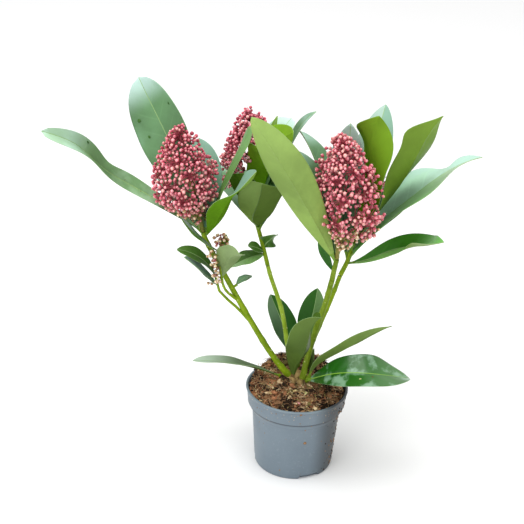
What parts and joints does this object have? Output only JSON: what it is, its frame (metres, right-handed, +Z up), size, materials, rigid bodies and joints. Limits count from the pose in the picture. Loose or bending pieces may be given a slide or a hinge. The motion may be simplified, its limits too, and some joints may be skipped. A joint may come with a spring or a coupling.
{
  "type": "potted skimmia shrub",
  "caption": "Young evergreen shrub with whorls of long oval leaves and cone-shaped heads of closed pink buds on upright green stems, growing in a small tapered plastic nursery pot.",
  "frame": {"origin": "middle of the pot's flat underside", "axes": "+Z up, +X towards the right-hand stem with the plant seen from its front, -Y towards the front"},
  "size_m": [0.3524, 0.1901, 0.3446],
  "materials": {
    "pot": "thin injection-moulded plastic, satin, blue-grey",
    "peat": "rough brown peat and coir fibre",
    "stem": "smooth yellow-green living bark",
    "leaf": "leathery leaf, glossy above, dull and paler below",
    "buds": "small waxy closed buds, dusky pink"
  },
  "bodies": {
    "root": {"pot": "pot", "peat": "peat", "stem_left": "stem", "stem_middle": "stem", "stem_right": "stem", "stem_rear": "stem", "twig_outer": "stem", "twig_inner": "stem", "leaves_left": "leaf", "leaves_left_low": "leaf", "leaves_outer": "leaf", "leaves_inner": "leaf", "leaves_middle": "leaf", "leaves_right": "leaf", "leaves_rear": "leaf", "leaves_low_left": "leaf", "leaves_low_front": "leaf", "leaves_low_right": "leaf", "leaves_low_back": "leaf", "flowers_left": "buds", "flowers_middle": "buds", "flowers_right": "buds", "flowers_rear": "buds", "flowers_inner": "buds"}
  },
  "joints": []
}
